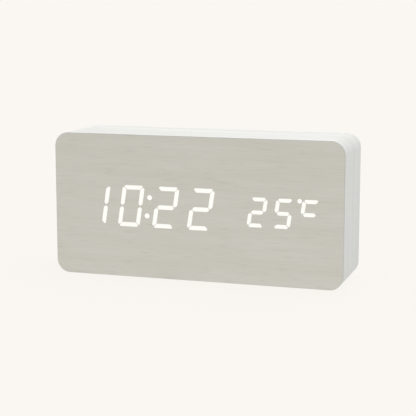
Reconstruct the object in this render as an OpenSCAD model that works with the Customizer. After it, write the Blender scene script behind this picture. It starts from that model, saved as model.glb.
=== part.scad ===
// Digital alarm clock in a wooden case. A film-wrapped MDF sleeve holds an LED display that shines
// through a thin veneer front. The recessed rear panel carries three keys, a power socket and a
// battery bay with a swinging door.
// X runs to the right of the display, Y to the rear and Z up. The origin is the middle of the base.

/* [Case] */
// Width of the case
case_w = 150; // [135:0.5:190]
// Height of the case
case_h = 72.5; // [65:0.5:100]
// Depth of the case, veneer included
case_d = 40; // [36:0.5:60]
// Radius of the four long corners
corner_r = 7; // [5:0.5:10]
// Thickness of the MDF walls
wall = 8; // [7:0.25:9]
// Radius that the router leaves in the corners of the cavity
cavity_r = 8; // [5:0.5:12]
// Width of the ledge that the front board sits on
front_ledge = 4; // [2:0.25:5]
// Width of the ledge that the rear panel sits on
rear_ledge = 4; // [3.5:0.25:5]

/* [Front] */
// Thickness of the veneer sheet
veneer_t = 0.6; // [0.4:0.1:1.2]
// Thickness of the front board
front_board_t = 3; // [2:0.25:4]
// Thickness of the frosted sheet behind the veneer
diffuser_t = 0.4; // [0.2:0.1:1]
// Gap round a board or panel that drops into its seat
seat_gap = 0.15; // [0.1:0.05:0.3]

/* [Digits] */
// Lean of the digits, in degrees
slant = 8.5; // [0:0.5:12]
// Gap between two bars where they meet
bar_gap = 0.3; // [0.2:0.05:0.6]
// Radius of the corners of a lit bar
bar_round = 0.6; // [0.1:0.05:0.65]
// Height of the middle of the display above the middle of the case
display_rise = 0.15; // [-2:0.05:2]
// Time digit, between the middles of its upright bars
time_digit_w = 9.6; // [8:0.1:10.5]
// Time digit, between the middles of its top and bottom bars
time_digit_h = 18.9; // [16:0.1:21]
// Thickness of a bar of a time digit
time_bar = 2.1; // [1.8:0.1:2.6]
// Distance from one time digit to the next
time_pitch = 18.4; // [17.5:0.1:18.6]
// Distance from the left side of the case to the middle of the first time digit
time_margin = 22.8; // [21:0.1:24]
// Distance between the two dots of the colon
colon_spacing = 9.3; // [6:0.1:12]
// Diameter of a dot of the colon
colon_d = 2.5; // [2:0.1:3]
// Temperature digit, between the middles of its upright bars
temp_digit_w = 6.9; // [6:0.1:7.3]
// Temperature digit, between the middles of its top and bottom bars
temp_digit_h = 12.9; // [11:0.1:15]
// Thickness of a bar of a temperature digit
temp_bar = 1.85; // [1.6:0.05:2.2]
// Distance from one temperature digit to the next
temp_pitch = 13; // [12.7:0.1:13.4]
// Distance from the right side of the case to the middle of the last temperature digit
temp_margin = 17.1; // [16:0.1:19]
// Diameter of the degree dot
degree_d = 2.2; // [1.6:0.1:2.4]

/* [Reflector and display board] */
// Margin of the display window round the digits
window_pad = 1.5; // [1.2:0.1:2]
// Depth of the light wells
reflector_d = 7.6; // [6:0.2:9]
// Gap between two light wells
well_gap = 0.7; // [0.5:0.05:0.9]
// Height of the flange above and below the window
flange_h = 5; // [4.5:0.25:7]
// Thickness of the flange
flange_t = 2; // [1.5:0.25:3]
// Thickness of the circuit boards
pcb_t = 1.6; // [1:0.1:2]
// Diameter of a board screw
board_screw_d = 1.8; // [1.6:0.1:2.2]

/* [Rear panel] */
// Thickness of the rear panel
panel_t = 2.5; // [2.4:0.1:3]
// Depth of the rear panel below the rim of the case
panel_recess = 2; // [1.5:0.25:3]
// Diameter of a panel screw
panel_screw_d = 2.2; // [1.8:0.1:2.6]
// Length of a panel screw under its head
panel_screw_l = 10; // [8:0.5:14]
// Distance of a panel screw from the two edges of the panel
panel_screw_in = 3.6; // [3.3:0.1:4]

/* [Keys] */
// Diameter of a key
key_d = 8; // [7:0.25:10]
// Gap between a key and its hole
key_gap = 0.2; // [0.15:0.05:0.4]
// Height of a key above the panel
key_rise = 1.2; // [0.8:0.1:1.5]
// Travel of a key
key_travel = 0.5; // [0.3:0.05:0.6]
// Distance from one key to the next
key_pitch = 15; // [13.5:0.25:16]
// Distance from the right side of the case to the middle key, seen from the front
key_margin = 42; // [39:0.25:44]
// Height of the keys above the middle of the display
key_row = 8.6; // [7:0.1:10]
// Depth of the socket, the vent and the microphone below the middle of the display
socket_row = 8.4; // [7:0.1:10]
// Side of a push switch
switch_side = 6; // [5:0.25:6.5]
// Height of the body of a push switch
switch_h = 3.5; // [3:0.1:4]
// Diameter of the plunger of a push switch
plunger_d = 3.5; // [2.5:0.1:3.8]
// Height of the plunger above the switch
plunger_rise = 1.5; // [1:0.1:2]

/* [Power socket] */
// Width of the metal shell
usb_w = 7.6; // [7:0.1:9]
// Height of the metal shell
usb_h = 2.8; // [2.6:0.1:3.6]
// Thickness of the metal shell
usb_wall = 0.35; // [0.25:0.05:0.4]

/* [Battery bay] */
// Diameter of a cell
cell_d = 10.5; // [10:0.1:10.8]
// Length of a cell, with its button
cell_l = 44.5; // [42:0.25:45]
// Distance from one cell to the next
cell_pitch = 11; // [10.9:0.1:11.4]
// Length of a contact spring under load
spring_l = 5.5; // [5:0.25:6.5]
// Diameter of the spring wire
spring_wire = 0.5; // [0.4:0.05:0.6]
// Thickness of the contact plates
contact_t = 0.4; // [0.3:0.05:0.6]
// Thickness of the walls of the battery box
box_wall = 1.5; // [1.2:0.1:2]
// Distance from the left side of the case to the middle of the battery box, seen from the front
box_margin = 41; // [40:0.25:42]

/* [Battery door] */
// Thickness of the door
door_t = 1.7; // [1.5:0.1:1.8]
// Gap round the door
door_gap = 0.25; // [0.2:0.05:0.4]
// Radius of the rounded hinge edge
hinge_r = 1; // [0.95:0.05:1.1]
// Diameter of a hinge pin
pin_d = 1.4; // [1:0.1:1.4]
// Length of a hinge pin inside the panel
pin_l = 1.6; // [1:0.1:2]
// Gap between a hinge pin and its bore
pin_gap = 0.05; // [0.03:0.01:0.1]

/* [Hidden] */
$fn = 48;

// How far a cutting shape runs past the face that it cuts
cut = 1;
film_white = "#f1f0ec";
plastic_white = "#e9e9e6";
board_green = "#2f6b45";
steel = "#c4c6c8";

// Planes across the depth, from the front to the rear
front_y = -case_d / 2;
rear_y = case_d / 2;
veneer_back = front_y + veneer_t;
front_board_back = veneer_back + front_board_t;
reflector_front = veneer_back + diffuser_t;
pcb_front = reflector_front + reflector_d;
pcb_back = pcb_front + pcb_t;
panel_out = rear_y - panel_recess;
panel_in = panel_out - panel_t;

// The cavity and the seats at its two ends
mid_z = case_h / 2;
cavity_w = case_w - 2 * wall;
cavity_h = case_h - 2 * wall;
front_seat_r = max(corner_r - wall + front_ledge, 1);
rear_seat_r = max(corner_r - wall + rear_ledge, 1);
panel_w = cavity_w + 2 * rear_ledge - 2 * seat_gap;
panel_h = cavity_h + 2 * rear_ledge - 2 * seat_gap;

// The display
display_z = mid_z + display_rise;
time_text = ["1", "0", "2", "2"];
temp_text = ["2", "5", "C"];
all_bars = ["a", "b", "c", "d", "e", "f", "g"];
time_last = len(time_text) - 1;
temp_last = len(temp_text) - 1;
time_x = time_margin - case_w / 2;
temp_x = case_w / 2 - temp_margin - temp_last * temp_pitch;
colon_x = time_x + 1.5 * time_pitch;
degree_gap = 2.35;
degree_lift = 0.15;
degree_x = case_w / 2 - temp_margin - temp_digit_w / 2 - degree_gap + tan(slant) * temp_digit_h / 2;
degree_z = display_z + temp_digit_h / 2 + degree_lift;
lean_reach = tan(slant) * (time_digit_h + time_bar) / 2;
window_left = time_x - (time_digit_w + time_bar) / 2 - lean_reach - window_pad;
window_right = case_w / 2 - temp_margin + (temp_digit_w + temp_bar) / 2
    + tan(slant) * (temp_digit_h + temp_bar) / 2 + window_pad;
window_x = (window_left + window_right) / 2;
window_w = window_right - window_left;
window_h = time_digit_h + time_bar + 2 * window_pad;
window_r = 1.5;
nose_w = window_w - 2 * seat_gap;
nose_h = window_h - 2 * seat_gap;
pcb_w = nose_w;
pcb_h = nose_h + 2 * flange_h;
led_l = 1.6;
led_w = 0.8;
led_h = 0.6;
led_step = 1.8;

// Board screws, their bosses and pilot holes, and the bevel and the cross recess of every screw head
boss_r = 2.1;
board_head_r = 1.7;
board_head_h = 1.2;
board_screw_l = 5;
screw_slack = 0.1;
pilot_slack = 0.05;
boss_edge = 0.2;
head_bevel = 0.5;
cross_w = 0.7;
cross_rim = 0.75;
cross_d = 0.8;
board_screw_x = pcb_w / 2 - boss_r - boss_edge;
board_screw_z = pcb_h / 2 - boss_r - boss_edge;

// Parts on the rear of the display board: their place from its edges or its middle, then their sizes
controller_edge = 25;
controller_at = [controller_edge - pcb_w / 2, 0];
controller_size = [18, 7.5, 2.3];
controller_pins = 14;
driver_at = [-11, 3];
driver_size = [15.4, 7.5, 2.3];
driver_pins = 12;
buzzer_at = [13, 4];
buzzer_r = 6;
buzzer_h = 6;
buzzer_hole_r = 1;
buzzer_hole_d = 1.5;
coin_r = 10;
coin_h = 3.2;
coin_step_w = 1;
coin_step_h = 0.5;
coin_edge = 3;
coin_at = [pcb_w / 2 - coin_r - coin_edge, 0];
clip_t = 0.4;
clip_w = 6;
clip_foot = 1.2;
battery_header_at = [-22, -12];
battery_header_size = [6, 4, 3];
lead_r = 0.6;
lead_pitch = 2.5;

// Key board, its switches and what it carries
key_flange = 1;
key_flange_t = 1;
key_x = case_w / 2 - key_margin;
key_z = display_z + key_row;
socket_z = display_z - socket_row;
plunger_top = panel_in - key_flange_t;
key_board_front = plunger_top - plunger_rise - switch_h;
key_board_back = key_board_front - pcb_t;
plunger_root = 1.3;
plunger_gap = 0.1;
plunger_spare = 0.3;
plunger_room = plunger_root + key_travel + plunger_spare;
key_board_edge = 3;
key_board_w = 2 * key_pitch + switch_side + 2 * key_board_edge;
key_board_foot = 5;
key_board_h = key_row + socket_row + switch_side + 2 * key_board_foot;
key_post_x = key_pitch / 2;
key_post_z = display_z;
key_screw_l = 6;
usb_recess = 0.8;
usb_mouth = panel_out - usb_recess;
usb_slot_gap = 0.4;
usb_chamfer = 0.9;
usb_floor = 0.5;
usb_tongue_w = 3.6;
usb_tongue_t = 0.7;
usb_tongue_in = 1.2;
usb_tongue_l = usb_mouth - key_board_front - usb_floor - usb_tongue_in;
mic_r = 3;
mic_h = 5;
mic_hole_r = 1;
mic_hole_d = 0.6;
vent_count = 4;
vent_w = 1.2;
vent_h = 8;
vent_pitch = 2.6;
bead_r = 1.2;
bead_gap = 0.3;
bead_wire_r = 0.25;
bead_wire_gap = 1.2;

// Ribbon between the two boards
ribbon_w = 8;
ribbon_t = 0.8;
ribbon_bend = 2;
ribbon_header = [10, 5, 4];
ribbon_reach = 12;
ribbon_low_z = display_z - ribbon_reach;
ribbon_high_z = display_z + ribbon_reach;
ribbon_rear_y = key_board_back - ribbon_header[2];
ribbon_front_y = pcb_back + ribbon_header[2];
ribbon_run_y = (ribbon_rear_y + ribbon_front_y) / 2;

// Battery bay: the cells lie along X in three rows, turned about in the middle row
cell_rows = [1, 0, -1];
cell_turns = [false, true, false];
cell_button_r = 1.9;
cell_button_l = 1;
cell_top_edge = 0.5;
cell_foot_edge = 0.4;
cell_clear = 0.1;
cell_cover = 0.6;
box_x = box_margin - case_w / 2;
box_z = display_z;
mouth_w = cell_l + spring_l + 2 * contact_t;
mouth_h = len(cell_rows) * cell_pitch;
door_in = panel_out - door_t;
cell_y = door_in - cell_cover - cell_d / 2;
box_floor_in = cell_y - cell_d / 2 - cell_clear;
box_floor_out = box_floor_in - box_wall;
box_flange_t = 1.2;
door_lap = 1.6;
hinge_lap = 3;
box_lap = 2.6;
opening_w = mouth_w + 2 * door_lap;
opening_low = box_z - mouth_h / 2 - door_lap;
opening_high = box_z + mouth_h / 2 + hinge_lap;
stake_r = 0.8;
stake_gap = 0.1;
stake_x = opening_w / 2 + box_lap / 2;
stake_in = 6;
stake_low = opening_low + stake_in;
stake_high = opening_high - stake_in;
saddle_x = 13;
saddle_t = 2;
saddle_h = 3;
plate_margin = 1;
tab_w = 3;
tab_l = 1.5;
tab_gap = 0.1;
tab_end_y = box_floor_out - tab_l;
spring_turns = 5;
spring_base_r = 3.4;
spring_tip_r = 2.2;

// Battery door
hinge_y = panel_out - hinge_r;
hinge_z = opening_high - door_gap - hinge_r;
door_w = opening_w - 2 * door_gap;
door_foot = opening_low + door_gap;
latch_w = 11;
latch_l = 9;
latch_slot = 0.8;
ridge_h = 0.5;
ridge_pitch = 1.6;
ridge_count = 3;
notch_r = 7;
notch_d = 1;

// Panel screws
panel_head_r = 2.1;
panel_head_h = 1.4;
panel_head_sink = 0.8;
panel_screw_x = panel_w / 2 - panel_screw_in;
panel_screw_z = panel_h / 2 - panel_screw_in;

// Points of outlines
function unit(v) = v / norm(v);
function mirrored(points, sx, sz) = [for (p = points) [sx * p[0], sz * p[1]]];
function leaning(points) = [for (p = points) [p[0] + tan(slant) * p[1], p[1]]];

// An arc of radius r in place of the corner b between its neighbours a and c
function round_corner(a, b, c, r, steps = 3) =
    let (p = unit(a - b), q = unit(c - b), half = acos(p * q) / 2)
    let (middle = b + unit(p + q) * r / sin(half))
    let (from = b + p * r / tan(half) - middle, to = b + q * r / tan(half) - middle)
    let (start = atan2(from[1], from[0]), turn = atan2(to[1], to[0]) - start)
    let (sweep = turn > 180 ? turn - 360 : turn < -180 ? turn + 360 : turn)
    [for (i = [0:steps]) middle + r * [cos(start + sweep * i / steps), sin(start + sweep * i / steps)]];
function rounded(points, r) = let (n = len(points))
    [for (i = [0:n - 1]) each round_corner(points[(i + n - 1) % n], points[i], points[(i + 1) % n], r)];

// The bars of a seven-bar digit: a is the top bar, then clockwise to f, and g is the middle bar
function top_bar(w, h, t, gap) = let (m = gap / sqrt(2), outer = (w + t) / 2 - m, inner = (w - t) / 2 - m)
    [[-outer, (h + t) / 2], [outer, (h + t) / 2], [inner, (h - t) / 2], [-inner, (h - t) / 2]];
function right_bar(w, h, t, gap) = let (m = gap / sqrt(2), outer = (w + t) / 2, inner = (w - t) / 2)
    [[outer, (h + t) / 2 - m], [inner, (h - t) / 2 - m], [inner, t / 2 + m], [w / 2, m], [outer, t / 2 + m]];
function middle_bar(w, t, gap) = let (m = gap / sqrt(2), tip = w / 2 - m, inner = (w - t) / 2 - m)
    [[-tip, 0], [-inner, t / 2], [inner, t / 2], [tip, 0], [inner, -t / 2], [-inner, -t / 2]];
function bar_outline(bar, w, h, t, gap) =
    bar == "a" ? top_bar(w, h, t, gap) :
    bar == "b" ? right_bar(w, h, t, gap) :
    bar == "c" ? mirrored(right_bar(w, h, t, gap), 1, -1) :
    bar == "d" ? mirrored(top_bar(w, h, t, gap), 1, -1) :
    bar == "e" ? mirrored(right_bar(w, h, t, gap), -1, -1) :
    bar == "f" ? mirrored(right_bar(w, h, t, gap), -1, 1) : middle_bar(w, t, gap);
function bar_middle(bar, w, h) =
    bar == "a" ? [0, h / 2] : bar == "b" ? [w / 2, h / 4] : bar == "c" ? [w / 2, -h / 4] :
    bar == "d" ? [0, -h / 2] : bar == "e" ? [-w / 2, -h / 4] : bar == "f" ? [-w / 2, h / 4] : [0, 0];
function is_level(bar) = bar == "a" || bar == "d" || bar == "g";
function lit_bars(sign) =
    sign == "0" ? ["a", "b", "c", "d", "e", "f"] :
    sign == "1" ? ["b", "c"] :
    sign == "2" ? ["a", "b", "d", "e", "g"] :
    sign == "3" ? ["a", "b", "c", "d", "g"] :
    sign == "4" ? ["b", "c", "f", "g"] :
    sign == "5" ? ["a", "c", "d", "f", "g"] :
    sign == "6" ? ["a", "c", "d", "e", "f", "g"] :
    sign == "7" ? ["a", "b", "c"] :
    sign == "8" ? all_bars :
    sign == "9" ? ["a", "b", "c", "d", "f", "g"] : ["a", "f", "g"];
function time_at(i) = [time_x + i * time_pitch, display_z];
function temp_at(i) = [temp_x + i * temp_pitch, display_z];

// A smooth line through points, and the rings of a tube along it
function smooth(p, steps) = let (n = len(p)) concat(
    [for (i = [0:n - 2], k = [0:steps - 1])
        let (t = k / steps, a = p[max(i - 1, 0)], b = p[i], c = p[i + 1], d = p[min(i + 2, n - 1)])
        b + t / 2 * ((c - a) + t * ((2 * a - 5 * b + 4 * c - d) + t * (3 * b - a - 3 * c + d)))],
    [p[n - 1]]);
function heading(line, i) = unit(line[min(i + 1, len(line) - 1)] - line[max(i - 1, 0)]);
function ring(line, i, r, sides, side) =
    let (ahead = heading(line, i), u = unit(cross(ahead, side)), v = cross(ahead, u))
    [for (k = [0:sides - 1]) line[i] + r * (cos(360 * k / sides) * u + sin(360 * k / sides) * v)];

// A contact spring along X: a cone of turns, from the plate to the foot of the cell
spring_steps = 8;
spring_sides = 6;
function spring_line() = [for (i = [0:spring_turns * spring_steps])
    let (t = i / (spring_turns * spring_steps), r = spring_base_r + t * (spring_tip_r - spring_base_r))
    [spring_wire / 2 + screw_slack + t * (spring_l - spring_wire - 2 * screw_slack),
        r * cos(360 * i / spring_steps), r * sin(360 * i / spring_steps)]];
function least_gap(line, d, apart) = min([for (i = [0:len(line) - 1], k = [i + apart:1:len(line) - 1])
    norm(line[i] - line[k])]) - d;
echo(spring_gap = least_gap(spring_line(), spring_wire, spring_steps / 2));

// Flat shapes, drawn with X to the right and Z up
module slab_outline(w, h, r) {
    square([w - 2 * r, h], center = true);
    square([w, h - 2 * r], center = true);
    for (x = [-1, 1], z = [-1, 1])
        translate([x * (w / 2 - r), z * (h / 2 - r)]) circle(r);
}
module slot_outline(w, h) {
    square([w, h - w], center = true);
    for (z = [-1, 1]) translate([0, z * (h - w) / 2]) circle(w / 2);
}
module bars(names, w, h, t, gap, r) {
    for (bar = names) {
        points = leaning(bar_outline(bar, w, h, t, gap));
        polygon(r > 0 ? rounded(points, r) : points);
    }
}
module time_bars(lit, gap, r) {
    for (i = [0:time_last])
        translate(time_at(i))
            bars(lit ? lit_bars(time_text[i]) : all_bars, time_digit_w, time_digit_h, time_bar, gap, r);
}
module temperature_bars(lit, gap, r) {
    for (i = [0:temp_last])
        translate(temp_at(i))
            bars(lit ? lit_bars(temp_text[i]) : all_bars, temp_digit_w, temp_digit_h, temp_bar, gap, r);
}
module colon_dots() {
    for (z = [-1, 1])
        translate([colon_x + z * tan(slant) * colon_spacing / 2, display_z + z * colon_spacing / 2])
            circle(colon_d / 2);
}
module degree_dot() translate([degree_x, degree_z]) circle(degree_d / 2);

// Solids between two planes across the depth
module between(y0, y1) translate([0, y1, 0]) rotate([90, 0, 0]) linear_extrude(y1 - y0) children();
module slab(x, z, w, h, r, y0, y1) between(y0, y1) translate([x, z]) slab_outline(w, h, r);
module rod(x, z, r, y0, y1) between(y0, y1) translate([x, z]) circle(r);
module box(x, z, w, h, y0, y1) translate([x - w / 2, y0, z - h / 2]) cube([w, y1 - y0, h]);

// A pan head screw with a cross recess: its head stands to the rear of the plane y, or to the front
module screw(x, z, y, head_r, head_h, shank_r, shank_l, to_front = false) {
    translate([x, y, z]) rotate([to_front ? 90 : -90, 0, 0]) difference() {
        union() {
            rotate_extrude() polygon([[0, 0], [head_r, 0], [head_r, head_h - head_bevel],
                [head_r - head_bevel, head_h], [0, head_h]]);
            translate([0, 0, -shank_l]) cylinder(r = shank_r, h = shank_l);
        }
        for (turn = [0, 90])
            rotate(turn) translate([cross_rim - head_r, -cross_w / 2, head_h - cross_d])
                cube([2 * (head_r - cross_rim), cross_w, cross_d + cut]);
    }
}
module board_corners() {
    for (x = [-1, 1], z = [-1, 1])
        translate([window_x + x * board_screw_x, 0, display_z + z * board_screw_z]) children();
}
module panel_corners() {
    for (x = [-1, 1], z = [-1, 1]) translate([x * panel_screw_x, 0, mid_z + z * panel_screw_z]) children();
}
module tube(line, r, sides, side) {
    n = len(line);
    points = [for (i = [0:n - 1]) each ring(line, i, r, sides, side)];
    walls = [for (i = [0:n - 2], k = [0:sides - 1])
        let (a = i * sides + k, b = i * sides + (k + 1) % sides)
        each [[a, b, a + sides], [b, b + sides, a + sides]]];
    start = [for (k = [1:sides - 2]) [0, k + 1, k]];
    end = [for (k = [1:sides - 2]) (n - 1) * sides * [1, 1, 1] + [0, k, k + 1]];
    polyhedron(points, concat(walls, start, end));
}

// Case: a sleeve of MDF wrapped in white film, open at both ends, with a ledge at each
module case_sleeve() color(film_white) difference() {
    slab(0, mid_z, case_w, case_h, corner_r, veneer_back, rear_y);
    slab(0, mid_z, cavity_w, cavity_h, cavity_r, front_y - cut, rear_y + cut);
    slab(0, mid_z, cavity_w + 2 * front_ledge, cavity_h + 2 * front_ledge, front_seat_r,
        front_y - cut, front_board_back);
    slab(0, mid_z, cavity_w + 2 * rear_ledge, cavity_h + 2 * rear_ledge, rear_seat_r, panel_in, rear_y + cut);
    panel_corners()
        rod(0, 0, panel_screw_d / 2 + pilot_slack, panel_in - panel_screw_l, panel_in + cut);
}

// Board that closes the front of the sleeve, with the display window
module front_board() color("#b99b76") difference() {
    slab(0, mid_z, cavity_w + 2 * (front_ledge - seat_gap), cavity_h + 2 * (front_ledge - seat_gap),
        front_seat_r, veneer_back, front_board_back);
    slab(window_x, display_z, window_w, window_h, window_r, veneer_back - cut, front_board_back + cut);
}

// Veneer over the whole front. The patches that glow are separate solids, set into it
module front_veneer() color("#c6c2b7") difference() {
    slab(0, mid_z, case_w, case_h, corner_r, front_y, veneer_back);
    between(front_y - cut, veneer_back + cut) {
        time_bars(true, bar_gap, bar_round);
        colon_dots();
        temperature_bars(true, bar_gap, bar_round);
        degree_dot();
    }
}
module lit_time_bars() color("#fffef5") between(front_y, veneer_back) time_bars(true, bar_gap, bar_round);
module lit_colon_dots() color("#fffef5") between(front_y, veneer_back) colon_dots();
module lit_temperature_bars() color("#fffef5") between(front_y, veneer_back) {
    temperature_bars(true, bar_gap, bar_round);
    degree_dot();
}

// Frosted sheet in the window, between the veneer and the light wells
module diffuser_sheet() color("#f4f4ee")
    slab(window_x, display_z, nose_w, nose_h, window_r, veneer_back, reflector_front);

// White block with one light well behind each bar and dot. Its flange is bonded to the front board
module segment_reflector() color("white") difference() {
    union() {
        slab(window_x, display_z, nose_w, nose_h, window_r, reflector_front, pcb_front);
        slab(window_x, display_z, pcb_w, pcb_h, window_r, front_board_back, front_board_back + flange_t);
        board_corners() rod(0, 0, boss_r, front_board_back + flange_t, pcb_front);
    }
    between(reflector_front - cut, pcb_front + cut) {
        time_bars(false, well_gap, 0);
        colon_dots();
        temperature_bars(false, well_gap, 0);
        degree_dot();
    }
    board_corners() rod(0, 0, board_screw_d / 2 + pilot_slack, pcb_front - board_screw_l, pcb_front + cut);
}

// Display board, its light emitters and its screws
module display_board() color(board_green) difference() {
    slab(window_x, display_z, pcb_w, pcb_h, window_r, pcb_front, pcb_back);
    board_corners() rod(0, 0, board_screw_d / 2 + screw_slack, pcb_front - cut, pcb_back + cut);
}
module emitter(p, level)
    box(p[0], p[1], level ? led_l : led_w, level ? led_w : led_l, pcb_front - led_h, pcb_front);
module segment_leds() color("#f2e3a0") {
    for (i = [0:time_last], bar = all_bars, side = [-1, 1]) {
        along = is_level(bar) ? [side * led_step, 0] : [0, side * led_step];
        middle = bar_middle(bar, time_digit_w, time_digit_h) + along;
        emitter(time_at(i) + leaning([middle])[0], is_level(bar));
    }
    for (i = [0:temp_last], bar = all_bars)
        emitter(temp_at(i) + leaning([bar_middle(bar, temp_digit_w, temp_digit_h)])[0], is_level(bar));
    for (z = [-1, 1])
        emitter([colon_x + z * tan(slant) * colon_spacing / 2, display_z + z * colon_spacing / 2], true);
    emitter([degree_x, degree_z], true);
}
module display_board_screws() color(steel) board_corners()
    screw(0, 0, pcb_back, board_head_r, board_head_h, board_screw_d / 2, board_screw_l);

// Chips with gull-wing legs, on the rear of the display board
module chip(at, size, pins) {
    leg_w = 0.4;
    leg_t = 0.2;
    foot_l = 0.8;
    pitch = size[0] / (pins + 0.5);
    stand = 0.1;
    foot_from = foot_l / 2 - leg_t;
    x = window_x + at[0];
    z = display_z + at[1];
    box(x, z, size[0], size[1], pcb_back + stand, pcb_back + size[2]);
    for (side = [-1, 1], i = [0:pins - 1])
        translate([x + (i - (pins - 1) / 2) * pitch, pcb_back, z + side * size[1] / 2])
            translate([-leg_w / 2, 0, 0]) {
                translate([0, size[2] / 2 - leg_t, side > 0 ? 0 : -foot_l / 2])
                    cube([leg_w, leg_t, foot_l / 2]);
                translate([0, 0, side > 0 ? foot_from : -foot_from - leg_t])
                    cube([leg_w, size[2] / 2, leg_t]);
                translate([0, 0, side > 0 ? foot_from : -foot_from - foot_l])
                    cube([leg_w, leg_t, foot_l]);
            }
}
module controller_chip() color("#26282b") chip(controller_at, controller_size, controller_pins);
module driver_chip() color("#26282b") chip(driver_at, driver_size, driver_pins);

// Sounder, with its hole to the rear
module buzzer() color("#1f1f21") translate([window_x + buzzer_at[0], pcb_back, display_z + buzzer_at[1]])
    difference() {
        rod(0, 0, buzzer_r, 0, buzzer_h);
        rod(0, 0, buzzer_hole_r, buzzer_h - buzzer_hole_d, buzzer_h + cut);
    }

// Cell that keeps the time when the power is off, under its clip
module coin_cell() color(steel) union() {
    rod(window_x + coin_at[0], display_z + coin_at[1], coin_r - coin_step_w, pcb_back, pcb_back + coin_h);
    rod(window_x + coin_at[0], display_z + coin_at[1], coin_r, pcb_back + coin_step_h, pcb_back + coin_h);
}
module coin_cell_clip() color(steel) {
    x = window_x + coin_at[0];
    z = display_z + coin_at[1];
    reach = coin_r + clip_t + screw_slack;
    top = pcb_back + coin_h + clip_t;
    box(x, z, clip_w, 2 * reach, top - clip_t, top);
    for (side = [-1, 1]) {
        box(x, z + side * (reach - clip_t / 2), clip_w, clip_t, pcb_back, top);
        box(x, z + side * (reach + clip_foot / 2), clip_w, clip_foot + 2 * clip_t,
            pcb_back, pcb_back + clip_t);
    }
}
module battery_header() color("#ece8da")
    box(window_x + battery_header_at[0], display_z + battery_header_at[1], battery_header_size[0],
        battery_header_size[1], pcb_back, pcb_back + battery_header_size[2]);

// Ribbon from the key board forward, up and forward again to the display board
module ribbon_headers() color("#ece8da") {
    box(key_x, ribbon_high_z, ribbon_header[0], ribbon_header[1], pcb_back, ribbon_front_y);
    box(key_x, ribbon_low_z, ribbon_header[0], ribbon_header[1], ribbon_rear_y, key_board_back);
}
module bend(y, z, sy, sz) translate([y, z]) intersection() {
    difference() {
        circle(ribbon_bend + ribbon_t / 2);
        circle(ribbon_bend - ribbon_t / 2);
    }
    translate([sy > 0 ? 0 : -2 * ribbon_bend, sz > 0 ? 0 : -2 * ribbon_bend]) square(2 * ribbon_bend);
}
module ribbon_cable() color("#d8d8d4")
    translate([key_x - ribbon_w / 2, 0, 0]) rotate([90, 0, 90]) linear_extrude(ribbon_w) {
        translate([ribbon_run_y + ribbon_bend, ribbon_low_z - ribbon_t / 2])
            square([ribbon_rear_y - ribbon_run_y - ribbon_bend, ribbon_t]);
        bend(ribbon_run_y + ribbon_bend, ribbon_low_z + ribbon_bend, -1, -1);
        translate([ribbon_run_y - ribbon_t / 2, ribbon_low_z + ribbon_bend])
            square([ribbon_t, ribbon_high_z - ribbon_low_z - 2 * ribbon_bend]);
        bend(ribbon_run_y - ribbon_bend, ribbon_high_z - ribbon_bend, 1, 1);
        translate([ribbon_front_y, ribbon_high_z - ribbon_t / 2])
            square([ribbon_run_y - ribbon_bend - ribbon_front_y, ribbon_t]);
    }

// Key board on two posts of the rear panel
module key_posts() for (side = [-1, 1]) translate([key_x + side * key_post_x, 0, key_post_z]) children();
module key_columns() for (i = [-1:1]) translate([key_x + i * key_pitch, 0, key_z]) children();
module key_board() color(board_green) difference() {
    slab(key_x, display_z + (key_row - socket_row) / 2, key_board_w, key_board_h, window_r,
        key_board_back, key_board_front);
    key_posts() rod(0, 0, board_screw_d / 2 + screw_slack, key_board_back - cut, key_board_front + cut);
}
module key_board_screws() color(steel) key_posts()
    screw(0, 0, key_board_back, board_head_r, board_head_h, board_screw_d / 2, key_screw_l, to_front = true);
module key_switches() color("#303236") key_columns() difference() {
    box(0, 0, switch_side, switch_side, key_board_front, key_board_front + switch_h);
    rod(0, 0, plunger_d / 2 + plunger_gap, key_board_front + switch_h - plunger_room,
        key_board_front + switch_h + cut);
}
module plunger(i) color("#3a3c40") translate([key_x + i * key_pitch, 0, key_z])
    rod(0, 0, plunger_d / 2, key_board_front + switch_h - plunger_root, plunger_top);

// Key: a round cap with a dished top, kept in the panel by its flange
module key(i) color(plastic_white) {
    cap_r = key_d / 2;
    cap_h = panel_t + key_rise;
    edge = 0.5;
    dish = 0.3;
    translate([key_x + i * key_pitch, panel_in, key_z]) rotate([-90, 0, 0]) rotate_extrude()
        polygon([[0, -key_flange_t], [cap_r + key_flange, -key_flange_t], [cap_r + key_flange, 0], [cap_r, 0],
            [cap_r, cap_h - edge], [cap_r - edge, cap_h], [cap_r - 2 * edge, cap_h],
            [cap_r / 2, cap_h - dish], [0, cap_h - dish]]);
}

// Power socket standing on the key board, with its mouth in the panel
function usb_outline(w, h, c) = [[-w / 2, h / 2], [w / 2, h / 2], [w / 2, c - h / 2], [w / 2 - c, -h / 2],
    [c - w / 2, -h / 2], [-w / 2, c - h / 2]];
module usb_socket() color(steel) translate([key_x - key_pitch, 0, socket_z]) difference() {
    between(key_board_front, usb_mouth) polygon(usb_outline(usb_w, usb_h, usb_chamfer));
    between(key_board_front + usb_floor, usb_mouth + cut)
        polygon(usb_outline(usb_w - 2 * usb_wall, usb_h - 2 * usb_wall,
            usb_chamfer - usb_wall * (2 - sqrt(2))));
}
module usb_tongue() color("#222326") translate([key_x - key_pitch, 0, socket_z])
    box(0, usb_h / 2 - usb_wall - usb_tongue_t, usb_tongue_w, usb_tongue_t,
        key_board_front + usb_floor, key_board_front + usb_floor + usb_tongue_l);

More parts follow.
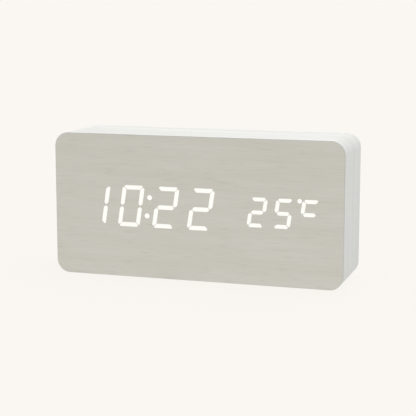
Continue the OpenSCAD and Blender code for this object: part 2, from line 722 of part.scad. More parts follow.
// Microphone capsule and temperature bead behind their openings in the panel
module microphone() color("#b9bbbd") translate([key_x + key_pitch, 0, socket_z]) difference() {
    rod(0, 0, mic_r, key_board_front, key_board_front + mic_h);
    rod(0, 0, mic_hole_r, key_board_front + mic_h - mic_hole_d, key_board_front + mic_h + cut);
}
module temperature_sensor() color("#20242a") translate([key_x, 0, socket_z]) {
    bead_y = panel_in - bead_gap - bead_r;
    translate([0, bead_y, 0]) sphere(bead_r);
    for (side = [-1, 1]) rod(side * bead_wire_gap / 2, 0, bead_wire_r, key_board_front, bead_y);
}

// Rear panel, sunk below the rim, with its keys, socket, vents and the opening of the battery bay
module door_opening() box(box_x, (opening_low + opening_high) / 2, opening_w, opening_high - opening_low,
    panel_in - cut, panel_out + cut);
module rear_panel() color(plastic_white) difference() {
    union() {
        slab(0, mid_z, panel_w, panel_h, rear_seat_r, panel_in, panel_out);
        key_posts() rod(0, 0, boss_r, key_board_front, panel_in);
        box_stakes() rod(0, 0, stake_r, panel_in - box_flange_t, panel_in);
    }
    door_opening();
    translate([box_x, 0, opening_low]) rod(0, 0, notch_r, panel_out - notch_d, panel_out + cut);
    for (side = [-1, 1])
        translate([box_x + side * opening_w / 2, hinge_y, hinge_z]) rotate([0, 90, 0])
            cylinder(r = pin_d / 2 + pin_gap, h = 2 * (pin_l + pin_gap), center = true);
    key_columns() rod(0, 0, key_d / 2 + key_gap, panel_in - cut, panel_out + cut);
    key_posts() rod(0, 0, board_screw_d / 2 + pilot_slack, key_board_front - cut,
        key_board_back + key_screw_l + pilot_slack);
    slab(key_x - key_pitch, socket_z, usb_w + 2 * usb_slot_gap, usb_h + 2 * usb_slot_gap, usb_chamfer,
        panel_in - cut, panel_out + cut);
    translate([key_x + key_pitch, 0, socket_z]) rod(0, 0, mic_hole_r, panel_in - cut, panel_out + cut);
    between(panel_in - cut, panel_out + cut)
        for (i = [0:vent_count - 1])
            translate([key_x + (i - (vent_count - 1) / 2) * vent_pitch, socket_z])
                slot_outline(vent_w, vent_h);
    panel_corners() {
        rod(0, 0, panel_screw_d / 2 + screw_slack, panel_in - cut, panel_out + cut);
        rod(0, 0, panel_head_r + screw_slack, panel_out - panel_head_sink, panel_out + cut);
    }
}
module rear_panel_screws() color(steel) panel_corners()
    screw(0, 0, panel_out - panel_head_sink, panel_head_r, panel_head_h, panel_screw_d / 2, panel_screw_l);

// Battery box behind the opening, held by heat-formed stakes of the panel
module box_stakes() for (side = [-1, 1], z = [stake_low, stake_high])
    translate([box_x + side * stake_x, 0, z]) children();
module cell_saddle(x) difference() {
    box(x, box_z, saddle_t, mouth_h + cut, box_floor_in - cut, box_floor_in + saddle_h);
    for (row = cell_rows)
        translate([x, cell_y, box_z + row * cell_pitch]) rotate([0, 90, 0])
            cylinder(r = cell_d / 2 + cell_clear, h = saddle_t + cut, center = true);
}
module battery_box() color("#dedfdc") difference() {
    union() {
        box(box_x, (opening_low + opening_high) / 2, opening_w + 2 * box_lap,
            opening_high - opening_low + 2 * box_lap, panel_in - box_flange_t, panel_in);
        slab(box_x, box_z, mouth_w + 2 * box_wall, mouth_h + 2 * box_wall, box_wall, box_floor_out, panel_in);
    }
    difference() {
        box(box_x, box_z, mouth_w, mouth_h, box_floor_in, panel_in + cut);
        for (side = [-1, 1]) cell_saddle(box_x + side * saddle_x);
    }
    box_stakes() rod(0, 0, stake_r + stake_gap, panel_in - box_flange_t - cut, panel_in + cut);
    for (end = [-1, 1])
        box(box_x + end * (mouth_w - contact_t) / 2, box_z - end * cell_pitch, contact_t + 2 * tab_gap,
            tab_w + 2 * tab_gap, box_floor_out - cut, box_floor_in + cut);
}

// Cells, and the plates and springs that join them in a row
module cell_axes(i) translate([box_x, cell_y, box_z + cell_rows[i] * cell_pitch])
    rotate([0, 0, cell_turns[i] ? 180 : 0]) translate([contact_t - mouth_w / 2, 0, 0]) children();
module battery_cells() color("#3d4348") for (i = [0:len(cell_rows) - 1]) cell_axes(i)
    rotate([0, 90, 0]) rotate_extrude() polygon([[0, 0], [cell_button_r, 0], [cell_button_r, cell_button_l],
        [cell_d / 2 - cell_top_edge, cell_button_l], [cell_d / 2, cell_button_l + cell_top_edge],
        [cell_d / 2, cell_l - cell_foot_edge], [cell_d / 2 - cell_foot_edge, cell_l], [0, cell_l]]);
module contact_plate(end, low, high, tab) {
    plate_h = cell_d - 2 * plate_margin;
    x = box_x + end * (mouth_w - contact_t) / 2;
    z0 = box_z + low * cell_pitch - plate_h / 2;
    z1 = box_z + high * cell_pitch + plate_h / 2;
    box(x, (z0 + z1) / 2, contact_t, z1 - z0, box_floor_in + cell_clear, cell_y + plate_h / 2);
    if (tab) box(x, box_z - end * cell_pitch, contact_t, tab_w, tab_end_y, box_floor_in + 2 * cell_clear);
}
module contact_plates() color(steel) {
    contact_plate(-1, 1, 1, true);
    contact_plate(-1, -1, 0, false);
    contact_plate(1, 0, 1, false);
    contact_plate(1, -1, -1, true);
}
module contact_springs() color(steel) for (i = [0:len(cell_rows) - 1])
    translate([box_x, cell_y, box_z + cell_rows[i] * cell_pitch]) rotate([0, 0, cell_turns[i] ? 0 : 180])
        translate([contact_t - mouth_w / 2, 0, 0])
            tube(spring_line(), spring_wire / 2, spring_sides, [1, 0, 0]);

// Leads from the two end plates to the header on the display board
lead_end_y = pcb_back + battery_header_size[2];
lead_run_y = (lead_end_y + tab_end_y) / 2;
header_x = window_x + battery_header_at[0];
header_z = display_z + battery_header_at[1];
plus_tab = [box_x - (mouth_w - contact_t) / 2, tab_end_y, box_z + cell_pitch];
minus_tab = [box_x + (mouth_w - contact_t) / 2, tab_end_y, box_z - cell_pitch];
plus_end = [header_x - lead_pitch / 2, lead_end_y, header_z];
minus_end = [header_x + lead_pitch / 2, lead_end_y, header_z];
lead_stub = [0, 0.4, 0];
lead_drop = [0, 1.2, 0];
lead_sag = [0, 0, 2];
lead_bend = 0.25;
lead_steps = 5;
lead_sides = 8;
lead_side = [0.3, 0.1, 1];
function lead_line(tab, end, sag) =
    let (a = [tab[0], lead_run_y, tab[2]], b = [end[0], lead_run_y, end[2]])
    let (bends = [a + lead_bend * (b - a) + sag, b - lead_bend * (b - a) + sag])
    let (route = [tab - lead_stub, tab - lead_drop, bends[0], bends[1], end + lead_drop, end + lead_stub])
    concat([tab], smooth(route, lead_steps), [end]);
module lead(tab, end, sag) tube(lead_line(tab, end, sag), lead_r, lead_sides, lead_side);
module positive_lead() color("#b8322c") lead(plus_tab, plus_end, lead_sag);
module negative_lead() color("#26282b") lead(minus_tab, minus_end, -lead_sag);

// Battery door: it hangs on two pins at its top edge, with a springy tongue at its foot
module battery_door() color(plastic_white) {
    difference() {
        translate([box_x - door_w / 2, 0, 0]) rotate([90, 0, 90]) linear_extrude(door_w) {
            translate([door_in, door_foot]) square([door_t, hinge_z - door_foot]);
            translate([hinge_y, hinge_z]) circle(hinge_r);
        }
        for (side = [-1, 1])
            box(box_x + side * latch_w / 2, door_foot + latch_l / 2, latch_slot, latch_l + cut,
                door_in - cut, panel_out + cut);
    }
    for (i = [0:ridge_count - 1])
        box(box_x, door_foot + ridge_pitch * (i + 1), latch_w - 4 * latch_slot, ridge_h, panel_out - cut / 2,
            panel_out + ridge_h);
    for (side = [-1, 1])
        translate([box_x + side * (door_w / 2 + (pin_l + door_gap) / 2 - cut / 2), hinge_y, hinge_z])
            rotate([0, 90, 0]) cylinder(r = pin_d / 2, h = pin_l + door_gap + cut, center = true);
}

case_sleeve();
front_board();
front_veneer();
lit_time_bars();
lit_colon_dots();
lit_temperature_bars();
diffuser_sheet();
segment_reflector();
display_board();
segment_leds();
display_board_screws();
controller_chip();
driver_chip();
buzzer();
coin_cell();
coin_cell_clip();
battery_header();
ribbon_headers();
ribbon_cable();
key_board();
key_board_screws();
key_switches();
usb_socket();
usb_tongue();
microphone();
temperature_sensor();
rear_panel();
rear_panel_screws();
key(-1);  // set_button
key(0);  // up_button
key(1);  // down_button
plunger(-1);  // set_plunger
plunger(0);  // up_plunger
plunger(1);  // down_plunger
battery_box();
battery_cells();
contact_plates();
contact_springs();
positive_lead();
negative_lead();
battery_door();
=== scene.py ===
import math

import bmesh
import bpy
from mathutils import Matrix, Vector


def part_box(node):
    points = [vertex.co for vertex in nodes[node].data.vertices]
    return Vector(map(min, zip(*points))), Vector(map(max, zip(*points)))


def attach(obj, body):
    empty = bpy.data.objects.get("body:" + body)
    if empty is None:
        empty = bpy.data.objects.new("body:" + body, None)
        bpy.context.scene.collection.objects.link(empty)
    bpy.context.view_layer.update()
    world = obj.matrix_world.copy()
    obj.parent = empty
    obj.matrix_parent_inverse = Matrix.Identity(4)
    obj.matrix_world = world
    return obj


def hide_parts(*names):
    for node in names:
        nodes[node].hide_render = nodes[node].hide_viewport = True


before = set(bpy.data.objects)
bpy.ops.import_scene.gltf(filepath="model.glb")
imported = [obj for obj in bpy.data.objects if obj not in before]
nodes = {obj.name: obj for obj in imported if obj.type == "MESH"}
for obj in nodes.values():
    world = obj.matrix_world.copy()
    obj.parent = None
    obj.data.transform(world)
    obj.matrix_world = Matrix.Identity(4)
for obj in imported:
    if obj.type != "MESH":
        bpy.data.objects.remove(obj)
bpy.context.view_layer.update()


# CASE
# A tube of fibreboard, routed out for the works and wrapped in a white printed film whose grain
# runs round it. A ledge at each end seats the front board and the rear panel.

near = 1e-6  # two places closer than this, in metres, are taken as one
past = 0.01  # how far a cutting tool runs on past a surface


def only(piece):
    """Leaves one object selected, as the active one."""
    bpy.ops.object.select_all(action="DESELECT")
    piece.select_set(True)
    bpy.context.view_layer.objects.active = piece


def named(name):
    """Names the object just added, with its place and turn taken into its mesh."""
    bpy.ops.object.transform_apply(location=True, rotation=True, scale=True)
    piece = bpy.context.object
    piece.name = piece.data.name = name
    return piece


def block(name, low, high):
    """A box between two corners."""
    bpy.ops.object.select_all(action="DESELECT")
    low, high = Vector(low), Vector(high)
    bpy.ops.mesh.primitive_cube_add(size=1, location=(low + high) / 2, scale=high - low)
    return named(name)


def open_up(piece, action="SELECT"):
    """Opens a piece in edit mode, with all of it selected or nothing."""
    only(piece)
    bpy.ops.object.mode_set(mode="EDIT")
    bpy.ops.mesh.select_all(action=action)


def close():
    """Leaves edit mode."""
    bpy.ops.object.mode_set(mode="OBJECT")


def pick(piece, kind, test):
    """Opens a piece in edit mode with only the edges or faces selected that pass the test."""
    open_up(piece, "DESELECT")
    bpy.ops.mesh.select_mode(type=kind)
    mesh = bmesh.from_edit_mesh(piece.data)
    for item in mesh.edges if kind == "EDGE" else mesh.faces:
        if test(item):
            item.select_set(True)
    bmesh.update_edit_mesh(piece.data)


def along_y(edge):
    """True for the edges that run from front to rear."""
    a, b = (corner.co for corner in edge.verts)
    return abs(a.x - b.x) < near and abs(a.z - b.z) < near


def at_plane(y):
    """A test for edges that lie in a plane across the depth."""
    return lambda edge: all(abs(corner.co.y - y) < near for corner in edge.verts)


def round_off(piece, test, radius, steps):
    """Rounds the edges that pass the test."""
    pick(piece, "EDGE", test)
    bpy.ops.mesh.bevel(offset=radius, segments=steps, profile=0.5, affect="EDGES", clamp_overlap=True)
    close()


def plate(name, x, z, w, h, radius, front, rear, steps=12):
    """An upright plate with rounded corners, between two planes across the depth."""
    piece = block(name, (x - w / 2, front, z - h / 2), (x + w / 2, rear, z + h / 2))
    round_off(piece, along_y, radius, steps)
    return piece


def drum(name, x, z, radius, front, rear, sides=64):
    """A round bar that runs from front to rear."""
    bpy.ops.object.select_all(action="DESELECT")
    bpy.ops.mesh.primitive_cylinder_add(vertices=sides, radius=radius, depth=rear - front,
                                        location=(x, (front + rear) / 2, z), rotation=(math.pi / 2, 0, 0))
    return named(name)


def modify(piece, kind, **settings):
    """Adds a modifier and applies it."""
    only(piece)
    step = piece.modifiers.new(kind.lower(), kind)
    for key, value in settings.items():
        setattr(step, key, value)
    bpy.ops.object.modifier_apply(modifier=step.name)


def cut_out(piece, *tools, operation="DIFFERENCE"):
    """Cuts each tool out of a piece, or adds it, and takes the tool away."""
    for tool in tools:
        modify(piece, "BOOLEAN", object=tool, operation=operation, solver="EXACT")
        bpy.data.objects.remove(tool)


def smooth(piece, degrees=35):
    """Shades a piece smooth up to an angle, with its flat faces kept flat."""
    only(piece)
    bpy.ops.object.shade_smooth_by_angle(angle=math.radians(degrees))
    modify(piece, "WEIGHTED_NORMAL", keep_sharp=True)


case_low, case_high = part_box("case_sleeve")
case_w, case_h = case_high.x - case_low.x, case_high.z - case_low.z
middle_z = (case_low.z + case_high.z) / 2
corner_radius, corner_steps = 0.007, 16
wall, cavity_radius = 0.008, 0.008
ledge = 0.004
rim_rounding, rim_steps = 0.0005, 3
seat_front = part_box("front_board")[1].y
panel_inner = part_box("battery_box")[1].y
screw_low, screw_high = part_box("rear_panel_screws")
head_radius = 0.0021
screw_places = [(x, z) for x in (screw_low.x + head_radius, screw_high.x - head_radius)
                for z in (screw_low.z + head_radius, screw_high.z - head_radius)]
pilot_radius, pilot_depth = 0.00115, 0.01


def hollow(name, inset, radius, front, rear):
    """A cutting tool with the outline of the case, drawn in all round."""
    return plate(name, 0, middle_z, case_w - 2 * inset, case_h - 2 * inset, radius, front, rear)


case = plate("case", 0, middle_z, case_w, case_h, corner_radius, case_low.y, case_high.y, corner_steps)
cut_out(case,
        hollow("cavity", wall, cavity_radius, case_low.y - past, case_high.y + past),
        hollow("front_seat", ledge, corner_radius - ledge, case_low.y - past, seat_front),
        hollow("rear_seat", ledge, corner_radius - ledge, panel_inner, case_high.y + past),
        *[drum("pilot_hole", x, z, pilot_radius, panel_inner - pilot_depth, panel_inner + past, sides=24)
          for x, z in screw_places])
round_off(case, at_plane(case_high.y), rim_rounding, rim_steps)
smooth(case)


def add(tree, kind, inputs=(), **settings):
    """Adds a shader node and sets its inputs, each from a value or from another node's output."""
    node = tree.nodes.new("ShaderNode" + kind)
    for key, value in settings.items():
        setattr(node, key, value)
    for key, value in dict(inputs).items():
        if isinstance(value, bpy.types.NodeSocket):
            tree.links.new(value, node.inputs[key])
        else:
            node.inputs[key].default_value = value
    return node


def maths(tree, operation, a, b):
    """One sum on two values."""
    return add(tree, "Math", {0: a, 1: b}, operation=operation).outputs[0]


def weighed(tree, a, b, share):
    """Two values added up, the first by its share and the second by the rest."""
    return maths(tree, "ADD", maths(tree, "MULTIPLY", a, share), maths(tree, "MULTIPLY", b, 1 - share))


def spread(tree, value, low, high, lowest=0.3, highest=0.7):
    """Maps a value, which for noise lies mostly between 0.3 and 0.7, to a range."""
    return add(tree, "MapRange", {"Value": value, "From Min": lowest, "From Max": highest,
                                  "To Min": low, "To Max": high}).outputs[0]


def tinted(tree, share, first, second):
    """A mix of two colours. A Mix node's colour sockets are its inputs 6 and 7 and its output 2."""
    return add(tree, "Mix", {"Factor": share, 6: first, 7: second}, data_type="RGBA").outputs[2]


def bumped(tree, shader, height, strength, depth=0.0002):
    """Gives a shader a relief from a height."""
    bump = add(tree, "Bump", {"Height": height, "Strength": strength, "Distance": depth})
    tree.links.new(bump.outputs[0], shader.inputs["Normal"])


def own_place(tree):
    """The coordinates of the piece itself."""
    return add(tree, "TexCoord").outputs["Object"]


def stretched_noise(tree, scale, detail, roughness=0.5):
    """Noise on the piece's own coordinates, stretched by a scale for each axis, per metre."""
    where = add(tree, "Mapping", {"Vector": own_place(tree), "Scale": scale}).outputs[0]
    return add(tree, "TexNoise", {"Vector": where, "Scale": 1.0, "Detail": detail,
                                  "Roughness": roughness}).outputs[0]


def srgb(r, g, b):
    """A colour given as it shows on a screen, from 0 to 255."""
    def linear(v):
        v /= 255
        return v / 12.92 if v <= 0.04045 else ((v + 0.055) / 1.055) ** 2.4
    return (linear(r), linear(g), linear(b), 1)


def group(name, inputs, outputs):
    """A shader node group with its sockets, and its inner input and output nodes."""
    tree = bpy.data.node_groups.new(name, "ShaderNodeTree")
    for label, kind in inputs:
        tree.interface.new_socket(name=label, in_out="INPUT", socket_type="NodeSocket" + kind)
    for label, kind in outputs:
        tree.interface.new_socket(name=label, in_out="OUTPUT", socket_type="NodeSocket" + kind)
    return tree, tree.nodes.new("NodeGroupInput").outputs, tree.nodes.new("NodeGroupOutput").inputs


def use_group(tree, shared, **inputs):
    """Places a shared group in a material, with its own values."""
    node = tree.nodes.new("ShaderNodeGroup")
    node.node_tree = shared
    for key, value in inputs.items():
        node.inputs[key].default_value = value
    return node.outputs


def finish(name):
    """A new material: its node tree and its shader."""
    material = bpy.data.materials.new(name)
    material.use_nodes = True
    return material, material.node_tree, material.node_tree.nodes["Principled BSDF"]


def grain_group():
    """Streaks along one direction: a broad tone, a fine streak and a height, about one half."""
    tree, given, out = group("grain_streaks", [("Broad", "Vector"), ("Fine", "Vector")],
                             [("Tone", "Float"), ("Streak", "Float"), ("Height", "Float")])
    broad = stretched_noise(tree, given["Broad"], 3)
    fine = stretched_noise(tree, given["Fine"], 4, roughness=0.6)
    swell = maths(tree, "MULTIPLY", broad, 0.3)
    tree.links.new(broad, out["Tone"])
    tree.links.new(fine, out["Streak"])
    tree.links.new(maths(tree, "ADD", fine, swell), out["Height"])
    return tree


grain_streaks = grain_group()


def white_film():
    """White film with a faint printed grain whose lines run round the case."""
    material, tree, shader = finish("white_film")
    grain = use_group(tree, grain_streaks, Broad=(9, 170, 9), Fine=(16, 900, 16))
    share = weighed(tree, grain["Tone"], grain["Streak"], 0.65)
    colour = tinted(tree, spread(tree, share, 0, 1), srgb(230, 231, 227), srgb(244, 245, 242))
    tree.links.new(colour, shader.inputs["Base Color"])
    tree.links.new(spread(tree, grain["Streak"], 0.62, 0.74), shader.inputs["Roughness"])
    shader.inputs["Specular IOR Level"].default_value = 0.35
    bumped(tree, shader, grain["Height"], 0.08)
    return material


def surface_group():
    """A plain made surface: cloudy tone, fine grain, uneven gloss and a height."""
    tree, given, out = group(
        "made_surface",
        [("Color", "Color"), ("Contrast", "Float"), ("Gloss", "Float"), ("Pitch", "Float")],
        [("Color", "Color"), ("Roughness", "Float"), ("Height", "Float")])
    place = own_place(tree)
    cloud = add(tree, "TexNoise", {"Vector": place, "Scale": 45.0, "Detail": 3.0}).outputs[0]
    fine = add(tree, "TexNoise", {"Vector": place, "Scale": given["Pitch"], "Detail": 2.0}).outputs[0]
    swing = maths(tree, "SUBTRACT", weighed(tree, cloud, fine, 0.6), 0.5)
    value = maths(tree, "ADD", maths(tree, "MULTIPLY", swing, given["Contrast"]), 1.0)
    shade = add(tree, "HueSaturation", {"Value": value, "Color": given["Color"]})
    uneven = maths(tree, "MULTIPLY", swing, 0.25)
    tree.links.new(shade.outputs[0], out["Color"])
    tree.links.new(maths(tree, "ADD", given["Gloss"], uneven), out["Roughness"])
    tree.links.new(fine, out["Height"])
    return tree


made_surface = surface_group()


def plain_finish(name, colour, contrast=0.1, gloss=0.5, pitch=2500.0, relief=0.1, metal=0.0, **sockets):
    """A material from the made surface, with its constant values set on the shader."""
    material, tree, shader = finish(name)
    made = use_group(tree, made_surface, Color=colour, Contrast=contrast, Gloss=gloss, Pitch=pitch)
    tree.links.new(made["Color"], shader.inputs["Base Color"])
    tree.links.new(made["Roughness"], shader.inputs["Roughness"])
    shader.inputs["Metallic"].default_value = metal
    for key, value in sockets.items():
        shader.inputs[key.replace("_", " ")].default_value = value
    bumped(tree, shader, made["Height"], relief)
    return material


def coat(piece, *materials):
    """Gives a piece its materials, with the first of them all over it."""
    piece.data.materials.clear()
    for material in materials:
        piece.data.materials.append(material)


def paint(piece, index, test):
    """Gives the faces that pass the test another of the piece's materials."""
    for face in piece.data.polygons:
        if test(face):
            face.material_index = index


def fit(piece, body, slot, *replaced):
    """Sets a finished piece on its body and hides the solids that it stands for. The slot is not used."""
    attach(piece, body)
    if replaced:
        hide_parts(*replaced)


film = white_film()
fibreboard = plain_finish("fibreboard", srgb(176, 146, 110), contrast=0.5, gloss=0.85, pitch=1400,
                          relief=0.4)
bare_half_w, bare_half_h = (case_w - ledge) / 2, (case_h - ledge) / 2


def bare_board(face):
    """True for the faces inside the tube that the film doesn't reach."""
    return (abs(face.center.x) < bare_half_w and abs(face.center.z - middle_z) < bare_half_h
            and face.center.y < panel_inner + 10 * near)


coat(case, film, fibreboard)
paint(case, 1, bare_board)
fit(case, "case", "film_wrap", "case_sleeve")


# FRONT BOARD
# A thin board of the same fibreboard, sawn to fit the front ledge and glued in. The nose of the
# display stands in the window that is cut through it.

def keep(materials):
    """Gives each solid that stays as it is its own finish."""
    for name, material in materials.items():
        coat(nodes[name], material)


keep({"front_board": fibreboard})


# FRONT VENEER
# A sheet of pale washed wood glued over the whole front and trimmed flush with the case. It is
# shaved so thin in front of the light wells that the lit bars shine through it, and a little of
# their light spreads in the wood round them.

def copied(piece, name, shift=(0, 0, 0)):
    """A copy of a piece with a mesh of its own, moved by a distance."""
    twin = piece.copy()
    twin.data = piece.data.copy()
    twin.name = twin.data.name = name
    twin.parent = None
    bpy.context.scene.collection.objects.link(twin)
    only(twin)
    bpy.ops.transform.translate(value=shift)
    bpy.ops.object.transform_apply(location=True, rotation=False, scale=False)
    return twin


def merge_flat(degrees):
    """Merges the selected faces that lie flat to each other, within an angle."""
    bpy.ops.mesh.dissolve_limited(angle_limit=math.radians(degrees))


veneer_low, veneer_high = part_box("front_veneer")
veneer_middle = (veneer_low.y + veneer_high.y) / 2
veneer_rounding, veneer_steps = 0.0003, 3
lit_nodes = ("lit_time_bars", "lit_colon_dots", "lit_temperature_bars")
right_through = 3  # a cutting tool is this many times as thick as the sheet
face_on, edge_on = -0.995, 0.05  # how far a face's normal points along the depth
glow_reach = 0.00012

veneer = plate("veneer", 0, middle_z, case_w, case_h, corner_radius, veneer_low.y, veneer_high.y,
               corner_steps)
round_off(veneer, at_plane(veneer_low.y), veneer_rounding, veneer_steps)
for name in lit_nodes:
    patch = copied(nodes[name], "patch")
    open_up(patch)
    bpy.ops.mesh.remove_doubles(threshold=near / 10)
    merge_flat(1)
    bpy.ops.transform.resize(value=(1, right_through, 1), center_override=(0, veneer_middle, 0))
    close()
    cut_out(veneer, patch)
open_up(veneer)
merge_flat(0.5)
close()
pick(veneer, "FACE", lambda face: face.normal.y < face_on)
bpy.ops.mesh.inset(thickness=glow_reach, use_boundary=True, use_even_offset=True)
close()
smooth(veneer)


def washed_wood(name, pale, dark, pore, gloss=(0.55, 0.68), specular=0.5, glow=0.0):
    """Pale wood, grain level along the sheet, with long pores that are darker and lie deeper."""
    material, tree, shader = finish(name)
    grain = use_group(tree, grain_streaks, Broad=(14, 40, 160), Fine=(45, 90, 1500))
    share = weighed(tree, grain["Tone"], grain["Streak"], 0.55)
    wood = tinted(tree, spread(tree, share, 0, 1), dark, pale)
    dashes = stretched_noise(tree, (100, 90, 1500), 2)
    pores = spread(tree, dashes, 0, 0.22, lowest=0.56, highest=0.72)
    tree.links.new(tinted(tree, pores, wood, pore), shader.inputs["Base Color"])
    tree.links.new(spread(tree, grain["Streak"], *gloss), shader.inputs["Roughness"])
    shader.inputs["Specular IOR Level"].default_value = specular
    shader.inputs["Emission Color"].default_value = srgb(236, 235, 229)
    shader.inputs["Emission Strength"].default_value = glow
    bumped(tree, shader, maths(tree, "SUBTRACT", grain["Height"], pores), 0.1)
    return material, tree, shader, grain["Streak"], pores


wood_tones = srgb(206, 203, 194), srgb(196, 192, 181), srgb(166, 160, 148)
veneer_wood = washed_wood("veneer_wood", *wood_tones, specular=0.3)[0]
glow_wood = washed_wood("glow_wood", *wood_tones, specular=0.3, glow=0.16)[0]
veneer_edge = washed_wood("veneer_edge", srgb(196, 196, 190), srgb(186, 186, 179), srgb(166, 164, 156),
                          gloss=(0.65, 0.75))[0]


def at_rim(face):
    """True for the faces round the outside of the sheet, and not in the cut-outs."""
    return (abs(face.center.x) > case_w / 2 - corner_radius
            or abs(face.center.z - middle_z) > case_h / 2 - corner_radius)


def round_a_bar(face):
    """True for the ring of faces round each cut-out, which the inset left unselected."""
    return face.normal.y < face_on and not face.select and not at_rim(face)


coat(veneer, veneer_wood, veneer_edge, film, glow_wood)
paint(veneer, 1, lambda face: at_rim(face) and face_on < face.normal.y < -edge_on)
paint(veneer, 2, lambda face: at_rim(face) and abs(face.normal.y) <= edge_on)
paint(veneer, 3, round_a_bar)
fit(veneer, "case", "veneer", "front_veneer")


# LIT BARS
# The places where the light of the display comes through the veneer. It is the same wood, shaved
# thin from behind, that glows here in the outline of the bars and dots.

lit_wood, tree, shader, streak, pores = washed_wood("lit_wood", srgb(96, 95, 92), srgb(88, 86, 82),
                                                    srgb(80, 78, 73), glow=1.0)
even_light = tinted(tree, spread(tree, streak, 0, 1), srgb(236, 235, 229), srgb(242, 241, 236))
light = tinted(tree, pores, even_light, srgb(206, 203, 194))
tree.links.new(light, shader.inputs["Emission Color"])
keep({name: lit_wood for name in lit_nodes})


# DISPLAY
# Behind the veneer: a frosted sheet, a white block with a light well for each bar, and the circuit
# board with its light emitters, screwed to the block. The board carries the chips and the sounder.

sharp = math.radians(40)  # edges that turn by more than this are softened


def soften(name, radius, steps=2):
    """Takes the sharp edges off a solid that stays, with modifiers that leave its mesh alone."""
    weld = nodes[name].modifiers.new("weld", "WELD")
    weld.merge_threshold = near
    edges = nodes[name].modifiers.new("edges", "BEVEL")
    edges.width = radius
    edges.segments = steps
    edges.limit_method = "ANGLE"
    edges.angle_limit = sharp
    edges.use_clamp_overlap = False


def printed_board():
    """Green solder mask over copper tracks, with plated holes."""
    material, tree, shader = finish("printed_board")
    turned = add(tree, "Mapping", {"Vector": own_place(tree), "Rotation": (math.pi / 2, 0, 0)}).outputs[0]
    tracks = add(tree, "TexBrick", {"Vector": turned, "Scale": 260.0, "Mortar Size": 0.012,
                                    "Brick Width": 1.3, "Row Height": 0.3}).outputs["Fac"]
    cells = add(tree, "TexVoronoi", {"Vector": turned, "Scale": 330.0}).outputs["Distance"]
    holes = maths(tree, "LESS_THAN", cells, 0.13)
    masked = tinted(tree, tracks, srgb(33, 86, 52), srgb(52, 118, 72))
    colour = tinted(tree, holes, masked, srgb(196, 190, 170))
    tree.links.new(colour, shader.inputs["Base Color"])
    tree.links.new(maths(tree, "MULTIPLY", holes, 0.9), shader.inputs["Metallic"])
    tree.links.new(spread(tree, tracks, 0.38, 0.28, lowest=0, highest=1), shader.inputs["Roughness"])
    bumped(tree, shader, tracks, 0.4, depth=0.00005)
    return material


board_mask = printed_board()
white_moulding = plain_finish("white_moulding", srgb(238, 238, 234), contrast=0.06, gloss=0.55)
frosted = plain_finish("frosted_sheet", srgb(240, 240, 235), contrast=0.05, gloss=0.8,
                       Transmission_Weight=0.4)
emitter = plain_finish("emitter_resin", srgb(238, 222, 150), contrast=0.15, gloss=0.3, Coat_Weight=0.5)
chip_body = plain_finish("chip_epoxy", srgb(38, 40, 43), contrast=0.3, gloss=0.6, pitch=5000)
steel = plain_finish("plated_steel", srgb(196, 198, 200), contrast=0.12, gloss=0.32, pitch=900, relief=0.03,
                     metal=1.0)
header_nylon = plain_finish("header_nylon", srgb(236, 231, 216), contrast=0.08, gloss=0.45)
component_rounding, chip_rounding = 0.0001, 0.00003
for name in ("coin_cell", "coin_cell_clip", "buzzer", "battery_header"):
    soften(name, component_rounding)
for name in ("controller_chip", "driver_chip"):
    soften(name, chip_rounding, steps=1)
keep({"diffuser_sheet": frosted, "segment_reflector": white_moulding, "display_board": board_mask,
      "segment_leds": emitter, "display_board_screws": steel, "controller_chip": chip_body,
      "driver_chip": chip_body, "buzzer": chip_body, "coin_cell": steel, "coin_cell_clip": steel,
      "battery_header": header_nylon})


# KEY BOARD
# A small board on two posts of the rear panel. It carries the three push switches, the power
# socket, the microphone and the temperature bead, and a ribbon joins it to the display board.

ribbon_vinyl = plain_finish("ribbon_vinyl", srgb(214, 214, 210), contrast=0.1, gloss=0.5)
switch_nylon = plain_finish("switch_nylon", srgb(48, 50, 54), contrast=0.2, gloss=0.5)
bead_glass = plain_finish("bead_glass", srgb(34, 38, 44), contrast=0.2, gloss=0.2, Coat_Weight=0.6)
capsule = plain_finish("capsule_tin", srgb(184, 186, 188), contrast=0.12, gloss=0.4, metal=1.0)
housing_rounding = 0.00015
for name in ("key_switches", "microphone", "ribbon_headers"):
    soften(name, housing_rounding)
keep({"key_board": board_mask, "key_board_screws": steel, "ribbon_headers": header_nylon,
      "ribbon_cable": ribbon_vinyl, "key_switches": switch_nylon, "microphone": capsule,
      "temperature_sensor": bead_glass, "set_plunger": switch_nylon, "up_plunger": switch_nylon,
      "down_plunger": switch_nylon})


# POWER SOCKET
# A tin shell, folded with its two lower corners cut off, that stands on the key board behind its
# slot in the panel. Inside it a black tongue carries five flat contacts.

def join(piece, *others):
    """Makes other objects part of a piece."""
    only(piece)
    for other in others:
        other.select_set(True)
    bpy.ops.object.join()


def row(first, count, step):
    """A piece and its copies, each one step on from the last."""
    return [first] + [copied(first, first.name, Vector(step) * i) for i in range(1, count)]


socket_low, socket_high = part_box("usb_socket")
socket_x, socket_z = (socket_low.x + socket_high.x) / 2, (socket_low.z + socket_high.z) / 2
shell_wall, shell_floor = 0.00035, 0.0005
shell_chamfer, shell_bend, shell_lip = 0.0009, 0.00012, 0.0001


def socket_form(name, inset, front, rear):
    """The outline of the socket: square above, with its two lower corners cut off."""
    form = block(name, (socket_low.x + inset, front, socket_low.z + inset),
                 (socket_high.x - inset, rear, socket_high.z - inset))
    cut = shell_chamfer - inset * (2 - math.sqrt(2))
    round_off(form, lambda edge: along_y(edge) and edge.verts[0].co.z < socket_z, cut, 1)
    return form


def upper_fold(edge):
    """True for the folds at the two upper corners of the shell."""
    return along_y(edge) and edge.verts[0].co.z > socket_z and edge.calc_face_angle(0) > sharp


